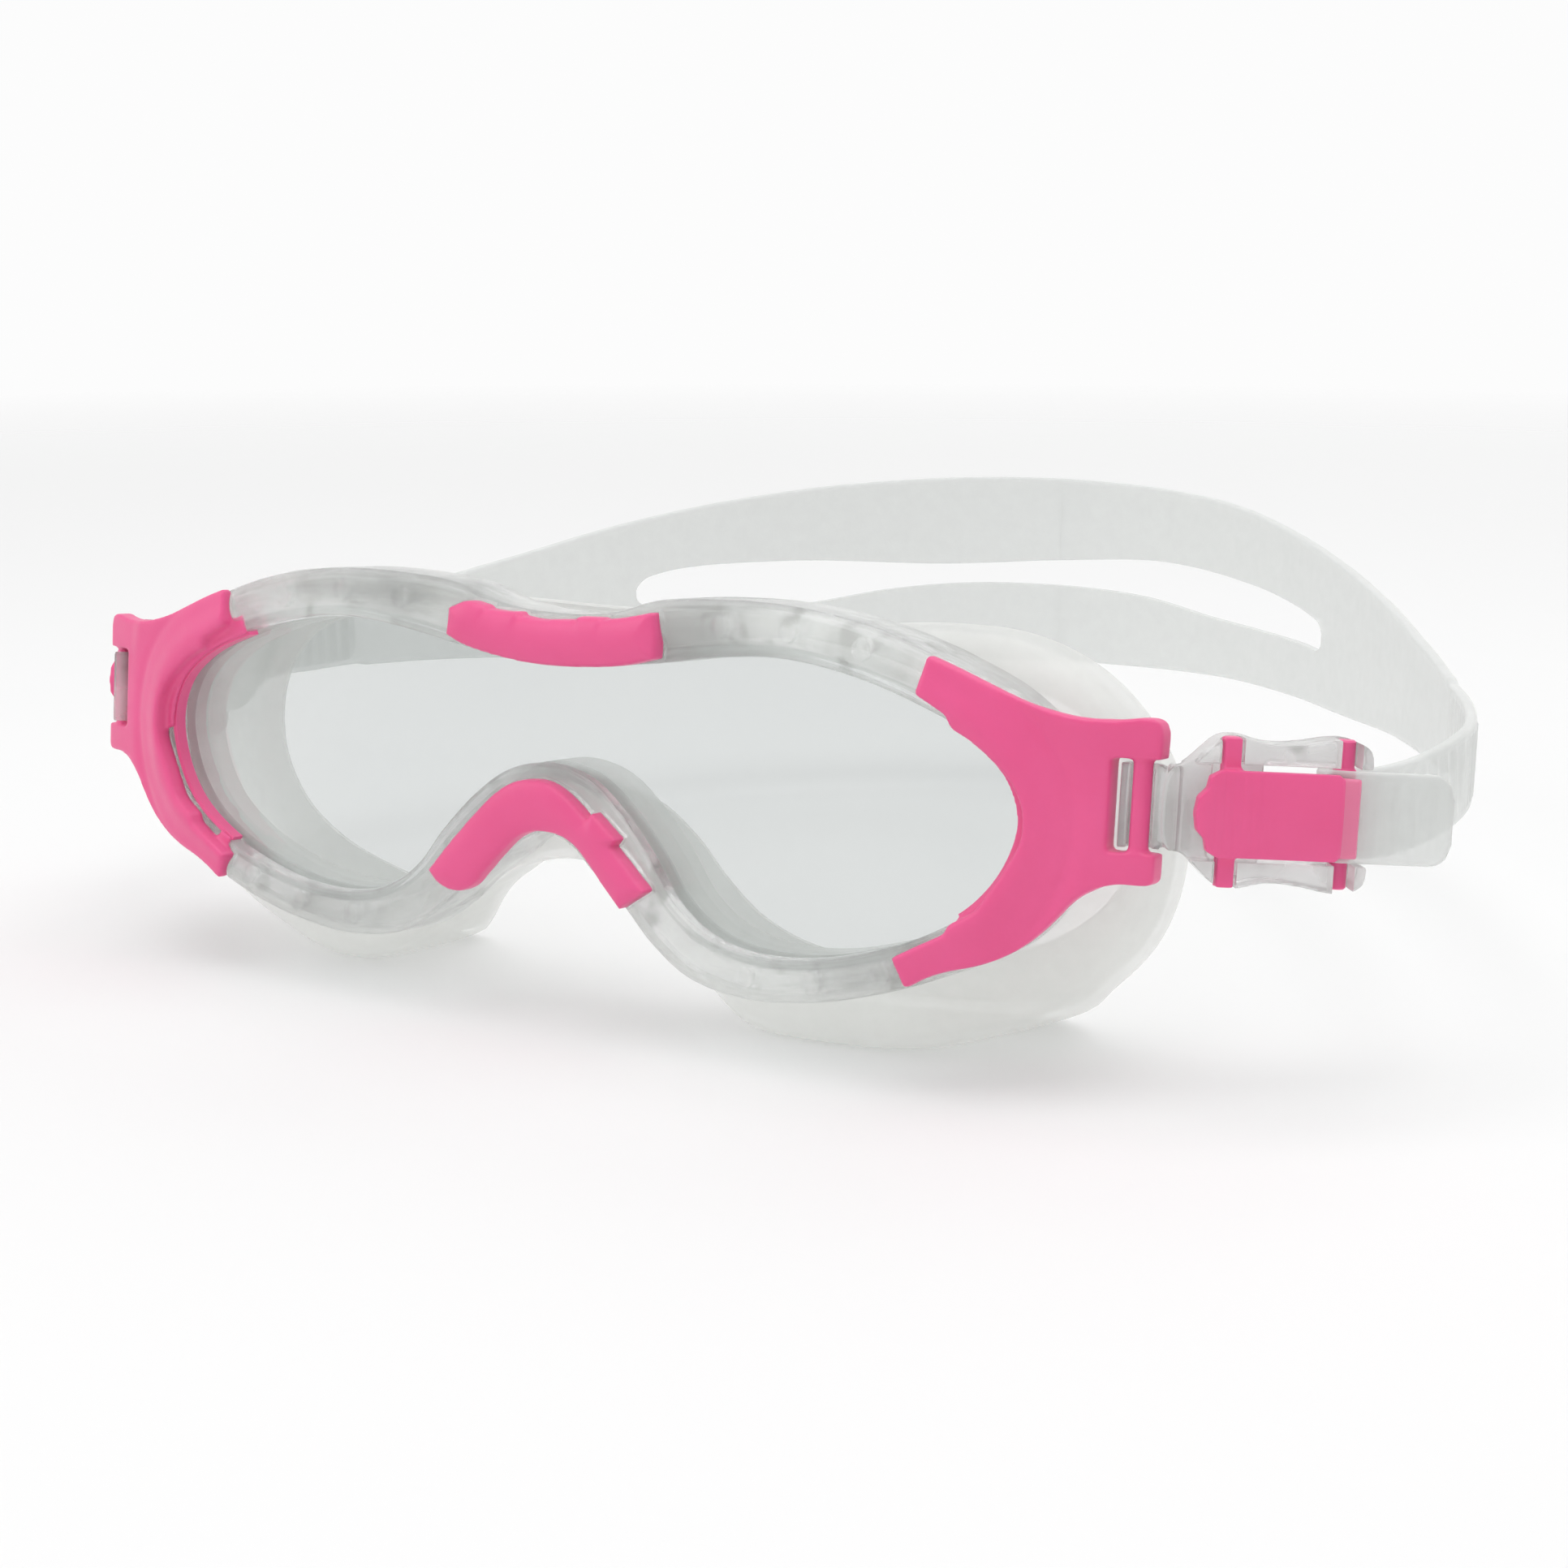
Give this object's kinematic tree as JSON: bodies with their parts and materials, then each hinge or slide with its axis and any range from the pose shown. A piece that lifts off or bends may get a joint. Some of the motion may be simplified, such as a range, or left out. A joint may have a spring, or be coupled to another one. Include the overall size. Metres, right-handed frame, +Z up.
{
  "type": "swim goggles",
  "caption": "Mask-style swim goggles: a curved clear lens in a clear frame with clip-on trim, a soft face skirt and a split head strap on hinged locking buckles.",
  "frame": {"origin": "centre of the bounding box in X and Y, at the plane that the lower lobes of the skirt stand on", "axes": "+X towards the wearer's left (right as seen from the front), +Y from the lens towards the back of the head, +Z up"},
  "size_m": [0.1952, 0.1644, 0.0558],
  "materials": {
    "clear_lens": "polished clear polycarbonate",
    "clear_plastic": "clear moulded plastic",
    "pink_plastic": "satin moulded plastic",
    "silicone": "translucent moulded silicone"
  },
  "bodies": {
    "mask": {"lens": "clear_lens", "front_bezel": "clear_plastic", "rear_retainer": "clear_plastic", "face_skirt": "silicone", "brow_clip": "pink_plastic", "nose_clip": "pink_plastic", "right_wing": "pink_plastic", "left_wing": "pink_plastic", "head_strap": "silicone"},
    "right_buckle": {"right_buckle_body": "clear_plastic"},
    "right_lever": {"right_lock_lever": "pink_plastic"},
    "right_roller": {"right_strap_roller": "pink_plastic"},
    "left_buckle": {"left_buckle_body": "clear_plastic"},
    "left_lever": {"left_lock_lever": "pink_plastic"},
    "left_roller": {"left_strap_roller": "pink_plastic"}
  },
  "joints": [
    {"name": "right_buckle_swing", "type": "hinge", "parent": "mask", "child": "right_buckle", "pos_m": [0.06679, -0.07161, 0.03569], "axis": [0, 0.0976, 0.9952], "range_deg": [-20, 35], "deforming": ["head_strap"]},
    {"name": "left_buckle_swing", "type": "hinge", "parent": "mask", "child": "left_buckle", "pos_m": [-0.08701, -0.07161, 0.03569], "axis": [0, 0.0976, 0.9952], "range_deg": [-8, 40], "deforming": ["head_strap"]},
    {"name": "right_lever_lift", "type": "hinge", "parent": "right_buckle", "child": "right_lever", "pos_m": [0.07571, -0.0681, 0.03535], "axis": [0, 0.0976, 0.9952], "range_deg": [-14, 0], "stiffness_Nm_per_rad": 0.02},
    {"name": "left_lever_lift", "type": "hinge", "parent": "left_buckle", "child": "left_lever", "pos_m": [-0.09082, -0.06286, 0.03484], "axis": [0, 0.0976, 0.9952], "range_deg": [0, 14], "stiffness_Nm_per_rad": 0.02},
    {"name": "right_roller_spin", "type": "hinge", "parent": "right_buckle", "child": "right_roller", "pos_m": [0.08591, -0.05926, 0.03448], "axis": [0, 0.0976, 0.9952], "continuous": true},
    {"name": "left_roller_spin", "type": "hinge", "parent": "left_buckle", "child": "left_roller", "pos_m": [-0.09175, -0.04942, 0.03352], "axis": [0, 0.0976, 0.9952], "continuous": true}
  ]
}
